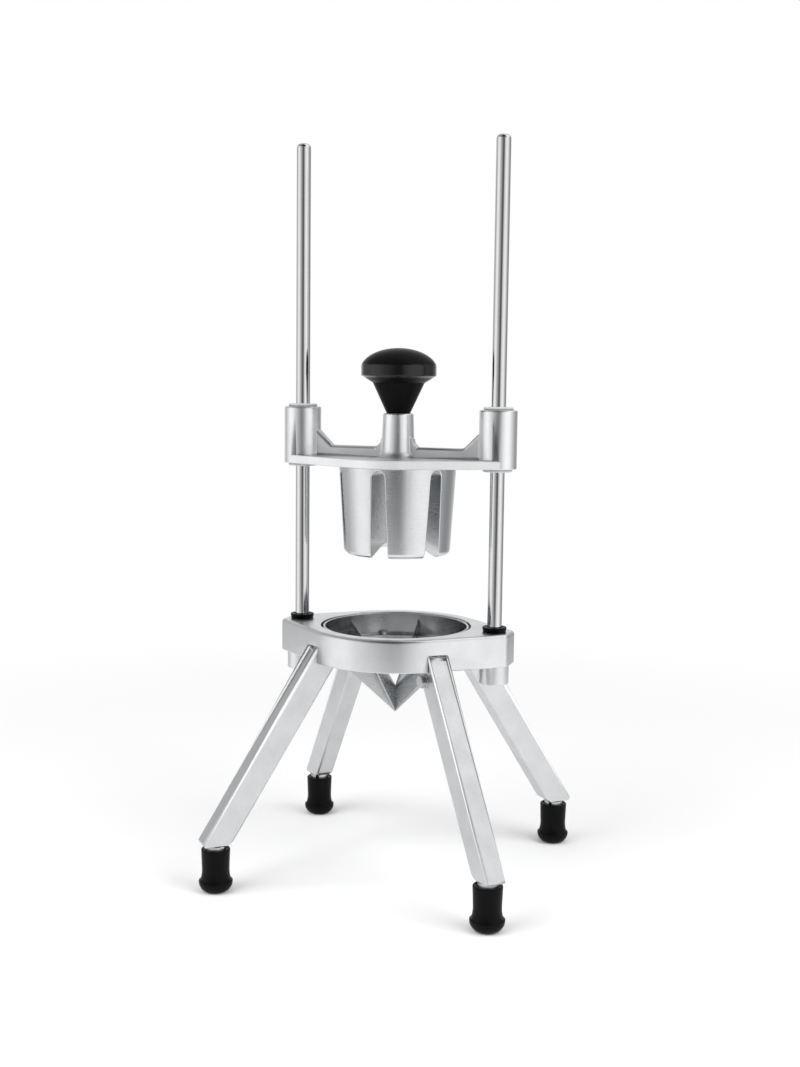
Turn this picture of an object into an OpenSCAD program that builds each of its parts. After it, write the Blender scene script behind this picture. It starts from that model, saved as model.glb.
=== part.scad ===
// Push-down fruit wedger: a cast head slides on two upright rods and presses fruit through a star of
// six blades held in a cast stand on four splayed legs. Millimetres. The origin is on the worktop,
// midway between the rods. +X runs along the line of the rods, +Y to the back and +Z up.

/* [Stand] */
// Height of the deck above the worktop
deck_height = 175.5; // [165:0.1:195]
// Depth of the skirt round the base casting
skirt_h = 22.4; // [20:0.1:24]
// Radius of the opening in the deck
opening_r = 53; // [51.5:0.1:60]
// Width of the round middle of the deck from that opening to its outer face
ring_wall = 9.5; // [8.5:0.1:12]
// Metal left beyond each rod at the ends of the deck
end_reach = 12.2; // [9:0.1:14]
// Radius of the upright corners at the ends of the deck
corner_r = 6; // [5:0.1:8]
// Half the width of the deck at its ends
end_half_w = 13; // [12:0.1:16]
// Radius of the rolled edge round the deck
deck_edge_r = 2.5; // [1:0.1:3.5]
// Height of the ledge that carries the blade cartridge
ledge_t = 4.4; // [3:0.1:6]
// Width of that ledge from the wall of the opening inwards
ledge_w = 9.5; // [8.5:0.1:11]
// Radius of the boss round the foot of each rod
foot_boss_r = 10.4; // [9.8:0.1:11.5]
// How far that boss hangs below the skirt
foot_boss_drop = 13.8; // [11:0.1:18]
// Thickness of the deck over the pockets under its ends
deck_t = 6; // [4:0.1:9]
// Thickness of the skirt beside those pockets
skirt_t = 4; // [3:0.1:5]

/* [Guide rods] */
// Distance between the rods, centre to centre
rod_spacing = 144; // [142:0.5:156]
// Diameter of each rod
rod_d = 10; // [8:0.1:11]
// Height of the rods above the deck
rod_rise = 334.6; // [310:0.1:350]
// Depth of each rod in its boss
rod_seat = 24; // [20:0.1:26]
// Radius of the rounded edge on top of each rod
rod_tip_r = 3; // [1:0.1:3.5]
// Height of the rubber bumper round the foot of each rod
bumper_h = 3.3; // [2:0.1:6]
// Thickness of the bumper's rubber round the rod
bumper_wall = 3.2; // [2:0.1:5]

/* [Legs and feet] */
// Direction of each leg from the line of the rods, in degrees
leg_azimuth = 43.7; // [40:0.1:48]
// Lean of each leg from upright, in degrees
leg_tilt = 32.4; // [28:0.1:36]
// Width of a leg, seen from outside
leg_w = 14; // [12:0.1:16]
// Thickness of a leg, square to its length
leg_d = 18; // [16:0.1:20]
// Radius of a leg's long edges
leg_edge_r = 1.5; // [0.5:0.1:3]
// Drop from the deck to where a leg's outer face leaves the skirt
leg_exit_drop = 13.2; // [12:0.1:15]
// Drop from the deck to the top of a leg
leg_top_drop = 11.4; // [11:0.1:12.5]
// Bevel on a leg's upper outer edge
leg_bevel = 4; // [2:0.1:5]
// Gap beside a leg in its notch in the skirt
notch_gap = 0.5; // [0.5:0.1:3]
// Radius of the notch's upper corners
notch_corner_r = 1.5; // [0.5:0.1:1.7]
// Distance of the cross bolts inside the outer face of the deck
bolt_inset = 5; // [4:0.1:6]
// Drop from the skirt's edge to the cross bolts
bolt_drop = 6.5; // [6:0.1:9]
// Thickness of the lug that goes into a leg's fork
lug_t = 6; // [4:0.1:7]
// Diameter of the cross bolts
bolt_d = 5; // [4.5:0.1:6]
// Height of a rubber foot
foot_h = 29.8; // [26:0.1:38]
// Radius of a foot at its top
foot_r = 9.8; // [9:0.1:12]
// Radius of a foot at its waist
foot_waist_r = 9.3; // [8.5:0.1:11]
// Radius of a foot at its lip
foot_flare_r = 11.5; // [11:0.1:14]
// Height of that lip above the worktop
foot_lip_h = 6.8; // [5:0.1:9]
// How far a foot's centre lies inside the middle of the leg's end
foot_inset = 3.3; // [2:0.1:4]
// Diameter of the round spigot at a leg's end
spigot_d = 13.4; // [10:0.1:13.8]
// Length of that spigot in view between the leg and its foot
spigot_neck = 2.6; // [0:0.1:4]
// Length of the spigot inside a foot
spigot_len = 20; // [14:0.1:24]

/* [Blades] */
// Thickness of the blade plates
blade_t = 1.2; // [0.8:0.1:1.6]
// Drop from the deck to the point of the blades
blade_point_drop = 63; // [58:0.1:66]
// Height of the blades where they cross
blade_core_h = 19.2; // [15:0.1:22]
// Drop from the ledge to the outer ends of the blades' lower edges
under_end_drop = 4.6; // [3:0.1:6]
// Drop from the ring's rim to the outer ends of the cutting edges
edge_end_drop = 4.3; // [3:0.1:6]
// Height of the ground bevel along the cutting edges
grind_h = 2.4; // [1:0.1:4]
// Flat left along the cutting edges
edge_land = 0.15; // [0.1:0.05:0.3]
// Wall of the ring that holds the blades
cartridge_t = 1.5; // [1.2:0.1:2]
// Gap between that ring and the wall of the opening
cartridge_gap = 1.5; // [0.5:0.1:2]
// Thickness of the ring's inner flange
flange_t = 2; // [1.5:0.1:3]
// How far the ring's rim lies below the deck
rim_drop = 0.7; // [0:0.1:2]
// Diameter of the screws through that flange
cartridge_screw_d = 3; // [2.5:0.1:3.5]

/* [Sliding head] */
// Gap between the deck and the underside of the head's plate, as drawn
head_lift = 112.3; // [105:0.1:125]
// Radius of the round middle of the plate
plate_r = 45; // [43:0.1:50]
// Thickness of the plate
plate_t = 6; // [5:0.1:9]
// Radius of the plate's rolled edges
plate_edge_r = 1; // [0.5:0.1:2]
// Radius of the two bosses that slide on the rods
slide_boss_r = 13; // [11.5:0.1:15]
// Height of those bosses
slide_boss_h = 40; // [34:0.1:46]
// Radius of the post at its top, under the knob
post_r = 10.6; // [9:0.1:13]
// Radius of the post at the plate
post_root_r = 11.7; // [10:0.1:14]
// Height of that post above the plate
post_h = 30.6; // [26:0.1:36]
// Width of the rib across the plate
rib_w = 8; // [5:0.1:10]
// Height of the rib above the plate
rib_h = 7.2; // [4:0.1:9]
// Height of the gussets beside the bosses, above the rib
gusset_h = 11.2; // [8:0.1:16]
// Length of the gussets along the rib
gusset_len = 11.7; // [8:0.1:16]
// Radius of the bend from a gusset into the rib
gusset_bend_r = 4; // [1:0.1:6]
// Radius of the blend round the root of the post
post_blend_r = 4; // [2:0.1:5]
// Radius of the blends between the rib and the post
rib_blend_r = 5.5; // [4:0.1:8]
// Length of each bushing in its boss
bushing_len = 14; // [8:0.1:16]
// Wall of each bushing
bushing_wall = 2.4; // [1.5:0.1:3]
// Thickness of each bushing's flange
bushing_flange_t = 2; // [1:0.1:3]
// How far that flange spreads past the bushing's wall
bushing_flange_w = 2.6; // [1:0.1:3]

/* [Push block] */
// Number of wedges, and so of fingers and blades
wedges = 6; // [6]
// Height of the fingers below the plate
finger_h = 61.5; // [55:0.1:66]
// Radius of the block at the plate
block_top_r = 40.9; // [39.5:0.1:41.5]
// Radius of the block near the fingers' ends
block_low_r = 37.3; // [35:0.1:38]
// Radius of the block at the very ends of the fingers
block_end_r = 34; // [32:0.1:35]
// Height of the rounding at the fingers' ends
finger_round_h = 3.6; // [2:0.1:5]
// Slope of the hollow under the fingers, in degrees
dish_slope = 18; // [10:1:24]
// Width of the slots between fingers at their arched tops
slot_top_w = 9; // [7:0.1:10]
// Width of the slots at the fingers' ends
slot_end_w = 12.3; // [11:0.1:14]
// Gap between the tops of the slots and the plate
slot_roof = 1.5; // [1:0.1:4]
// Depth of the seat of the block in the plate
block_seat = 2.5; // [1.5:0.1:3]
// Width of the shoulder round that seat
block_shoulder = 2.5; // [1.5:0.1:4]
// Distance of the block's screws from the middle
block_screw_reach = 24; // [22:0.1:27]
// Diameter of the block's screws
block_screw_d = 4; // [3:0.1:4.5]

/* [Knob] */
// Radius of the knob's neck
knob_neck_r = 8.5; // [8:0.1:10]
// Radius of the knob's head
knob_r = 26.2; // [24:0.1:29]
// Height of the whole knob
knob_h = 44.8; // [40:0.1:50]
// Height of the tapering neck
knob_neck_h = 20.9; // [18:0.1:24]
// Radius at the top of the neck
knob_shoulder_r = 18; // [15:0.1:20]
// Height of the hollow under the head
knob_under_h = 4.3; // [3:0.1:6]
// Height of the band round the head
knob_band_h = 7.3; // [5:0.1:9]
// How far below the top of the band the dome is centred
knob_dome_drop = 3; // [0:0.1:6]
// Diameter of the stud in the knob
stud_d = 8; // [6:0.1:9]

/* [Clearances] */
// Running gap between bushings and rods, on the radius
running_gap = 0.08; // [0.04:0.01:0.1]
// Gap round parts that are pushed or screwed together, on the radius
seat_gap = 0.05; // [0.03:0.01:0.1]
// Gap round bolts in plain holes, on the radius
bolt_gap = 0.2; // [0.1:0.05:0.4]
// Gap beside loosely fitted cast faces
cast_gap = 0.2; // [0.1:0.05:0.4]

/* [Hidden] */
$fn = 64;

cast_colour = [0.80, 0.81, 0.82];
steel_colour = [0.72, 0.73, 0.75];
blade_colour = [0.60, 0.61, 0.63];
rubber_colour = [0.06, 0.06, 0.06];
knob_colour = [0.03, 0.03, 0.035];
bushing_colour = [0.88, 0.88, 0.86];
brass_colour = [0.80, 0.66, 0.35];

over = 1;
sides = [-1, 1];

// Heights
deck_z = deck_height;
skirt_z = deck_z - skirt_h;
ledge_z = skirt_z + ledge_t;
foot_boss_z = skirt_z - foot_boss_drop;

// Rods and what fastens them
rod_x = rod_spacing / 2;
rod_r = rod_d / 2;
rod_foot_z = deck_z - rod_seat;
rod_top_z = deck_z + rod_rise;
rod_screw_r = 3;
rod_screw_grip = 12;
rod_screw_head_r = 5;
rod_screw_head_h = 5.5;
rod_washer_r = 5.8;
rod_washer_t = 1.2;
rod_screw_sink = 8;
rod_washer_z = foot_boss_z + rod_screw_sink - rod_washer_t;

// Round middle and ends of the deck
ring_r = opening_r + ring_wall;
end_x = rod_x + end_reach;
corner_x = end_x - corner_r;
corner_y = end_half_w - corner_r;
pocket_wall = 2;
pocket_half_w = 22;

// Blade cartridge
cartridge_r = opening_r - cartridge_gap;
cartridge_bore_r = cartridge_r - cartridge_t;
flange_r = opening_r - ledge_w;
flange_z = ledge_z + flange_t;
rim_z = deck_z - rim_drop;
cartridge_screw_reach = (flange_r + cartridge_bore_r) / 2;
cartridge_screw_head_r = 0.9 * cartridge_screw_d;
cartridge_screw_head_h = 0.6 * cartridge_screw_d;
cartridge_screw_count = wedges / 2;
sector = 360 / wedges;
blade_angle = sector / 2;
blade_point_z = deck_z - blade_point_drop;
blade_slot_gap = 0.08;
tab_r = cartridge_r - seat_gap;
tab_top_z = rim_z - edge_end_drop;
edge_rise = tab_top_z - blade_point_z - blade_core_h;
blade_edge_slope = atan(edge_rise / cartridge_bore_r);
lap_h = blade_core_h / 3;

// Legs, worked out in an upright plane through the middle of the stand
leg_run = tan(leg_tilt);
leg_level_d = leg_d / cos(leg_tilt);
leg_exit_z = deck_z - leg_exit_drop;
leg_top_z = deck_z - leg_top_drop;
leg_back_r = opening_r + pocket_wall;
lug_wall_r = leg_back_r - cast_gap;
foot_centre_r = leg_outer(foot_h) - leg_level_d / 2 - foot_inset;
leg_end_z = foot_h + spigot_neck;
leg_end_bevel = 3;
notch_top_z = leg_top_z + notch_gap;
bolt_r = bolt_d / 2;
bolt_reach = ring_r - bolt_inset;
bolt_z = skirt_z - bolt_drop;
lug_r = bolt_r + 2.5;
lug_neck_r = bolt_reach + 2;
fork_gap = 0.8;
bolt_head_af = 8;
bolt_head_h = 3.5;
bolt_tip_y = leg_w / 2 - 1.2;
washer_r = 5;
washer_t = 1;
spigot_r = spigot_d / 2;
legs = [
    ["front_left", 180 + leg_azimuth], ["front_right", -leg_azimuth],
    ["back_left", 180 - leg_azimuth], ["back_right", leg_azimuth]
];

// Sliding head
plate_z = deck_z + head_lift;
plate_top_z = plate_z + plate_t;
rib_top_z = plate_top_z + rib_h;
boss_top_z = plate_z + slide_boss_h;
post_top_z = plate_top_z + post_h;
bushing_bore_r = rod_r + running_gap;
bushing_r = bushing_bore_r + bushing_wall;
bushing_flange_r = bushing_r + bushing_flange_w;
boss_bore_r = bushing_r + seat_gap;
boss_bevel = 0.8;

// Push block
block_end_z = plate_z - finger_h;
block_seat_r = block_top_r - block_shoulder;
block_seat_z = plate_z + block_seat;
slot_top_z = plate_z - slot_roof;
block_screw_r = block_screw_d / 2;
block_screw_head_r = block_screw_d;
block_screw_len = 14;
block_screw_angles = [60, 120, 240, 300];

// Knob
knob_z = post_top_z;
stud_r = stud_d / 2;
stud_grip = 20;
insert_wall = 3;
insert_r = stud_r + insert_wall;
insert_len = 18;

// Radius of the post at height h above the plate
function post_side(h) = post_root_r + (post_r - post_root_r) * h / post_h;
// Radius of a leg's outer face at height z
function leg_outer(z) = ring_r + (leg_exit_z - z) * leg_run;
// Radius of a leg's inner face at height z
function leg_inner(z) = leg_outer(z) - leg_level_d;
// Points on an arc of radius r about c, from angle a to angle b
function arc(c, r, a, b, steps = 6) =
    [for (i = [0:steps]) c + r * [cos(a + (b - a) * i / steps), sin(a + (b - a) * i / steps)]];

// A round middle that runs in straight sides to rounded tips, as one flat outline
module boat_outline(mid_r, tip_r, tip_x, tip_y) {
    reach = norm([tip_x, tip_y]);
    lean = atan2(tip_y, tip_x) + acos((mid_r - tip_r) / reach);
    square_to_side = [cos(lean), sin(lean)];
    mid_point = mid_r * square_to_side;
    tip_point = [tip_x, tip_y] + tip_r * square_to_side;
    circle(mid_r);
    for (sx = sides, sy = sides)
        translate([sx * tip_x, sy * tip_y]) circle(tip_r);
    if (tip_y > 0) square([2 * (tip_x + tip_r), 2 * tip_y], center = true);
    polygon([
        mid_point, tip_point, [tip_point.x, -tip_point.y], [mid_point.x, -mid_point.y],
        -mid_point, -tip_point, [-tip_point.x, tip_point.y], [-mid_point.x, mid_point.y]
    ]);
}

// A disc of radius r from z0 to z1 with its upper edge rounded to edge_r
module soft_disc(r, z0, z1, edge_r, segments) {
    rotate_extrude($fn = segments)
        polygon(concat([[0, z0], [r, z0]], arc([r - edge_r, z1 - edge_r], edge_r, 0, 90, 4), [[0, z1]]));
}

// A shape drawn as (radius, height), set upright in the plane of the leg at an angle
module leg_plane(angle, width) {
    rotate([0, 0, angle]) rotate([90, 0, 0]) linear_extrude(width, center = true) children();
}

module ring_of(count, reach, turn = 0) {
    for (i = [0:count - 1]) rotate([0, 0, turn + i * 360 / count]) translate([reach, 0, 0]) children();
}

// ---- Stand ----

module base_blank() {
    hull() {
        soft_disc(ring_r, skirt_z, deck_z, deck_edge_r, 64);
        for (sx = sides, sy = sides)
            translate([sx * corner_x, sy * corner_y, 0])
                soft_disc(corner_r, skirt_z, deck_z, deck_edge_r, 24);
    }
}

module leg_notch_outline() {
    half_w = leg_w / 2 + notch_gap;
    straight_top = notch_top_z - notch_corner_r;
    translate([-half_w, skirt_z - over]) square([2 * half_w, straight_top - skirt_z + over]);
    translate([-half_w + notch_corner_r, straight_top - over])
        square([2 * (half_w - notch_corner_r), notch_corner_r + over]);
    for (s = sides) translate([s * (half_w - notch_corner_r), straight_top]) circle(notch_corner_r);
}

module leg_notch(angle) {
    rotate([0, 0, angle]) translate([lug_wall_r, 0, 0]) rotate([90, 0, 90])
        linear_extrude(ring_r) leg_notch_outline();
}

module lug_outline() {
    translate([bolt_reach, bolt_z]) circle(lug_r);
    polygon([
        [bolt_reach - lug_r, bolt_z], [bolt_reach + lug_r, bolt_z], [lug_neck_r, skirt_z + 2],
        [lug_neck_r, notch_top_z + over], [lug_wall_r - over, notch_top_z + over],
        [lug_wall_r - over, skirt_z + over], [bolt_reach - lug_r, skirt_z + over]
    ]);
}

// A hole across a leg, bored from the bolt's head and stopping short of the far face
module cross_hole(angle, r) {
    rotate([0, 0, angle]) translate([bolt_reach, bolt_tip_y, bolt_z]) rotate([90, 0, 0])
        cylinder(h = leg_w, r = r);
}

module end_pockets() {
    translate([0, 0, skirt_z - over]) linear_extrude(skirt_h - deck_t + over) difference() {
        intersection() {
            boat_outline(ring_r - skirt_t, corner_r - skirt_t, corner_x, corner_y);
            square([2 * end_x, 2 * pocket_half_w], center = true);
        }
        circle(opening_r + pocket_wall + skirt_t);
        for (s = sides) translate([s * rod_x, 0]) circle(foot_boss_r + pocket_wall);
    }
}

module base_casting() {
    color(cast_colour) difference() {
        union() {
            difference() {
                base_blank();
                end_pockets();
                for (leg = legs) leg_notch(leg[1]);
            }
            for (s = sides) translate([s * rod_x, 0, foot_boss_z])
                cylinder(h = skirt_z + over - foot_boss_z, r = foot_boss_r);
            for (leg = legs) leg_plane(leg[1], lug_t) lug_outline();
        }
        translate([0, 0, ledge_z]) cylinder(h = skirt_h, r = opening_r);
        translate([0, 0, skirt_z - over]) cylinder(h = skirt_h, r = flange_r);
        for (s = sides) translate([s * rod_x, 0, 0]) {
            translate([0, 0, rod_foot_z]) cylinder(h = rod_seat + over, r = rod_r + seat_gap);
            translate([0, 0, foot_boss_z - over]) cylinder(h = skirt_h, r = rod_screw_r + bolt_gap);
            translate([0, 0, foot_boss_z - over])
                cylinder(h = rod_screw_sink + over, r = rod_washer_r + cast_gap);
        }
        for (leg = legs) cross_hole(leg[1], bolt_r + bolt_gap);
        ring_of(cartridge_screw_count, cartridge_screw_reach) translate([0, 0, skirt_z - over])
            cylinder(h = skirt_h, r = cartridge_screw_d / 2 + seat_gap);
    }
}

module guide_rod(s) {
    color(steel_colour) translate([s * rod_x, 0, 0]) difference() {
        rotate_extrude()
            polygon(concat([[0, rod_foot_z], [rod_r, rod_foot_z]],
                arc([rod_r - rod_tip_r, rod_top_z - rod_tip_r], rod_tip_r, 0, 90), [[0, rod_top_z]]));
        translate([0, 0, rod_foot_z - over])
            cylinder(h = rod_screw_grip + 2 + over, r = rod_screw_r);
    }
}

module rod_bumper(s) {
    low_r = rod_r + bumper_wall - 0.3;
    top_r = rod_r + bumper_wall + 0.2;
    bore_r = rod_r + seat_gap;
    color(rubber_colour) translate([s * rod_x, 0, deck_z]) rotate_extrude()
        polygon([[bore_r, 0], [low_r, 0], [top_r, bumper_h - 0.6], [top_r - 0.4, bumper_h], [bore_r, bumper_h]]);
}

module rod_screws() {
    shank = rod_foot_z + rod_screw_grip - rod_washer_z;
    for (s = sides) color(steel_colour) translate([s * rod_x, 0, rod_washer_z]) difference() {
        union() {
            cylinder(h = shank, r = rod_screw_r - seat_gap);
            translate([0, 0, -rod_screw_head_h]) cylinder(h = rod_screw_head_h, r = rod_screw_head_r);
        }
        translate([0, 0, -rod_screw_head_h - over]) cylinder(h = 3 + over, r = 2.9, $fn = 6);
    }
}

module rod_washers() {
    for (s = sides) color(steel_colour) translate([s * rod_x, 0, rod_washer_z]) difference() {
        cylinder(h = rod_washer_t, r = rod_washer_r);
        translate([0, 0, -over]) cylinder(h = rod_washer_t + 2 * over, r = rod_screw_r + bolt_gap);
    }
}

// ---- Blade cartridge ----

module blade_ring() {
    slot_w = blade_t + 2 * blade_slot_gap;
    color(steel_colour) difference() {
        rotate_extrude() polygon([
            [flange_r, ledge_z], [cartridge_r, ledge_z], [cartridge_r, rim_z], [cartridge_bore_r, rim_z],
            [cartridge_bore_r, flange_z], [flange_r, flange_z]
        ]);
        for (i = [0:wedges - 1]) rotate([0, 0, blade_angle + i * sector])
            translate([flange_r - over, -slot_w / 2, ledge_z - over])
                cube([ledge_w + 2 * over, slot_w, tab_top_z + blade_slot_gap - ledge_z + over]);
        ring_of(cartridge_screw_count, cartridge_screw_reach) translate([0, 0, ledge_z - over])
            cylinder(h = flange_t + 2 * over, r = cartridge_screw_d / 2 + seat_gap);
    }
}

// One arm of a blade, drawn as (radius, height) from the crossing line outwards
module blade_arm_outline() {
    seat_r = flange_r - cast_gap;
    polygon([
        [0, blade_point_z], [seat_r, ledge_z - under_end_drop],
        [seat_r, ledge_z], [tab_r, ledge_z], [tab_r, tab_top_z],
        [cartridge_bore_r, tab_top_z], [0, tab_top_z - edge_rise]
    ]);
}

// The plate's cross-section, ground to an edge on top and swept along the cutting edge
module blade_stock() {
    depth = 3 * blade_core_h + opening_r;
    translate([0, 0, blade_point_z + blade_core_h]) rotate([0, 90 - blade_edge_slope, 0])
        translate([0, 0, -opening_r]) linear_extrude(3 * opening_r) polygon([
            [0, edge_land / 2], [grind_h, blade_t / 2], [depth, blade_t / 2],
            [depth, -blade_t / 2], [grind_h, -blade_t / 2], [0, -edge_land / 2]
        ]);
}

module blade_arm() {
    intersection() {
        blade_stock();
        rotate([90, 0, 0]) linear_extrude(2 * blade_t, center = true) blade_arm_outline();
    }
}

// A bent plate of two arms. It keeps its own third of the crossing line and is cut for the other two.
module blade_plate(index) {
    lap_w = blade_t * (1 / sin(sector) + 1 / tan(sector)) + 2 * blade_slot_gap;
    keep_low = blade_point_z + (2 - index) * lap_h;
    color(blade_colour) rotate([0, 0, blade_angle + index * sector]) difference() {
        union() {
            blade_arm();
            rotate([0, 0, 180]) blade_arm();
        }
        if (index < 2)
            translate([-lap_w / 2, -blade_t, blade_point_z - over])
                cube([lap_w, 2 * blade_t, keep_low - blade_point_z + over + seat_gap]);
        if (index > 0)
            translate([-lap_w / 2, -blade_t, keep_low + lap_h - seat_gap])
                cube([lap_w, 2 * blade_t, 3 * blade_core_h]);
    }
}

module blade_ring_screws() {
    tip_z = skirt_z - 1.5;
    ring_of(cartridge_screw_count, cartridge_screw_reach) color(steel_colour) difference() {
        union() {
            translate([0, 0, tip_z]) cylinder(h = flange_z - tip_z, r = cartridge_screw_d / 2);
            translate([0, 0, flange_z]) cylinder(h = cartridge_screw_head_h, r = cartridge_screw_head_r);
        }
        translate([0, 0, flange_z + 0.5]) cylinder(h = cartridge_screw_head_h, r = 1.15, $fn = 6);
    }
}

// ---- Legs and feet ----

module leg_section() {
    inset_x = leg_d / 2 - leg_edge_r;
    inset_y = leg_w / 2 - leg_edge_r;
    square([leg_d, 2 * inset_y], center = true);
    square([2 * inset_x, leg_w], center = true);
    for (sx = sides, sy = sides) translate([sx * inset_x, sy * inset_y]) circle(leg_edge_r);
}

module leg_side_outline() {
    bevel_z = leg_top_z - leg_bevel;
    bevel_end_z = leg_end_z + leg_end_bevel;
    polygon([
        [leg_inner(leg_end_z) + leg_end_bevel, leg_end_z],
        [leg_outer(leg_end_z) - leg_end_bevel, leg_end_z], [leg_outer(bevel_end_z), bevel_end_z],
        [leg_outer(bevel_z), bevel_z], [leg_outer(bevel_z) - leg_bevel, leg_top_z],
        [leg_back_r, leg_top_z], [leg_back_r, skirt_z], [leg_inner(skirt_z), skirt_z],
        [leg_inner(bevel_end_z), bevel_end_z]
    ]);
}

module fork_outline() {
    translate([bolt_reach, bolt_z]) circle(lug_r + fork_gap);
    polygon([
        [0, bolt_z - lug_r - fork_gap], [bolt_reach, bolt_z - lug_r - fork_gap],
        [bolt_reach + lug_r + fork_gap, bolt_z], [lug_neck_r + fork_gap, skirt_z + 2],
        [lug_neck_r + fork_gap, deck_z], [0, deck_z]
    ]);
}

module leg(angle) {
    mid_z = (leg_top_z + foot_h) / 2;
    mid_r = leg_outer(mid_z) - leg_level_d / 2;
    color(cast_colour) difference() {
        union() {
            intersection() {
                rotate([0, 0, angle]) translate([mid_r, 0, mid_z]) rotate([0, 180 - leg_tilt, 0])
                    linear_extrude(2 * deck_z, center = true) leg_section();
                leg_plane(angle, leg_w + over) leg_side_outline();
            }
            rotate([0, 0, angle]) translate([foot_centre_r, 0, foot_h - spigot_len])
                cylinder(h = spigot_len + spigot_neck + over, r = spigot_r);
        }
        leg_plane(angle, lug_t + 2 * cast_gap) fork_outline();
        cross_hole(angle, bolt_r + seat_gap);
    }
}

module foot(angle) {
    bore_r = spigot_r + seat_gap;
    bore_z = foot_h - spigot_len - 0.5;
    pad_r = 5;
    flare_h = 8;
    lip_edge = 0.6;
    rim_bevel = 0.8;
    lip_w = foot_flare_r - pad_r;
    flare_w = foot_flare_r - foot_waist_r;
    color(rubber_colour) rotate([0, 0, angle]) translate([foot_centre_r, 0, 0]) rotate_extrude()
        polygon(concat(
            [[0, 0]],
            [for (a = [0:15:90]) [pad_r + lip_w * sin(a), foot_lip_h * (1 - cos(a))]],
            [for (a = [0:15:90])
                [foot_flare_r - flare_w * sin(a), foot_lip_h + lip_edge + flare_h * (1 - cos(a))]],
            [[foot_r, foot_h - rim_bevel], [foot_r - rim_bevel, foot_h], [bore_r, foot_h],
            [bore_r, bore_z], [0, bore_z]]));
}

module leg_bolts() {
    head_y = leg_w / 2 + washer_t;
    for (leg = legs) color(steel_colour) rotate([0, 0, leg[1]]) translate([bolt_reach, 0, bolt_z])
        rotate([90, 0, 0]) {
            translate([0, 0, 0.5 - bolt_tip_y]) cylinder(h = head_y + bolt_tip_y - 0.5, r = bolt_r);
            translate([0, 0, head_y]) cylinder(h = bolt_head_h, r = bolt_head_af / 2 / cos(30), $fn = 6);
        }
}

module leg_washers() {
    for (leg = legs) color(steel_colour) rotate([0, 0, leg[1]]) translate([bolt_reach, 0, bolt_z])
        rotate([90, 0, 0]) translate([0, 0, leg_w / 2]) difference() {
            cylinder(h = washer_t, r = washer_r);
            translate([0, 0, -over]) cylinder(h = washer_t + 2 * over, r = bolt_r + bolt_gap);
        }
}

// ---- Sliding head ----

module plate_blank() {
    hull() {
        for (x = [0, rod_x, -rod_x]) translate([x, 0, 0])
            soft_disc(x == 0 ? plate_r : slide_boss_r, plate_z, plate_top_z, plate_edge_r, 48);
    }
}

module rib_outline() {
    gusset_x = rod_x - slide_boss_r + 1;
    gusset_foot_x = gusset_x - gusset_len;
    slope = atan2(gusset_h, gusset_len);
    bend_x = gusset_foot_x - gusset_bend_r * tan(slope / 2);
    blend_x = post_side(rib_h + rib_blend_r) + rib_blend_r;
    blend_z = rib_top_z + rib_blend_r;
    half = concat(
        [[rod_x, plate_top_z - over], [rod_x, rib_top_z + gusset_h], [gusset_x, rib_top_z + gusset_h]],
        arc([bend_x, rib_top_z + gusset_bend_r], gusset_bend_r, 270 + slope, 270, 4),
        arc([blend_x, blend_z], rib_blend_r, 270, 180));
    count = len(half);
    polygon(concat(half, [for (i = [1:count]) [-half[count - i].x, half[count - i].y]]));
}

module pusher_casting() {
    blend_x = post_side(post_blend_r) + post_blend_r;
    color(cast_colour) difference() {
        union() {
            plate_blank();
            rotate([90, 0, 0]) linear_extrude(rib_w, center = true) rib_outline();
            rotate_extrude() polygon(concat(
                [[0, plate_top_z - over], [blend_x, plate_top_z - over]],
                arc([blend_x, plate_top_z + post_blend_r], post_blend_r, 270, 180),
                [[post_r, post_top_z - boss_bevel], [post_r - boss_bevel, post_top_z], [0, post_top_z]]));
            for (s = sides) translate([s * rod_x, 0, 0]) rotate_extrude() polygon([
                [0, plate_z], [slide_boss_r, plate_z], [slide_boss_r, boss_top_z - boss_bevel],
                [slide_boss_r - boss_bevel, boss_top_z], [0, boss_top_z]
            ]);
        }
        for (s = sides) translate([s * rod_x, 0, plate_z - over])
            cylinder(h = slide_boss_h + 2 * over, r = boss_bore_r);
        translate([0, 0, post_top_z - stud_grip - 2])
            cylinder(h = stud_grip + 2 + over, r = stud_r + seat_gap);
        translate([0, 0, plate_z - over]) cylinder(h = block_seat + over, r = block_seat_r + seat_gap);
        for (a = block_screw_angles) rotate([0, 0, a]) translate([block_screw_reach, 0, 0]) {
            translate([0, 0, plate_z]) cylinder(h = plate_t + over, r = block_screw_r + bolt_gap);
            translate([0, 0, plate_top_z - block_screw_head_r + block_screw_r])
                cylinder(h = block_screw_head_r, r1 = block_screw_r + bolt_gap,
                    r2 = 2 * block_screw_head_r - block_screw_r + bolt_gap);
        }
    }
}

module slot_outline() {
    spring_z = slot_top_z - slot_top_w / 2;
    low_z = block_end_z - over;
    grow = (slot_end_w - slot_top_w) / 2 / (spring_z - block_end_z);
    low_half = slot_top_w / 2 + grow * (spring_z - low_z);
    translate([0, spring_z]) circle(slot_top_w / 2);
    polygon([
        [-slot_top_w / 2, spring_z], [slot_top_w / 2, spring_z], [low_half, low_z], [-low_half, low_z]
    ]);
}

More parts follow.
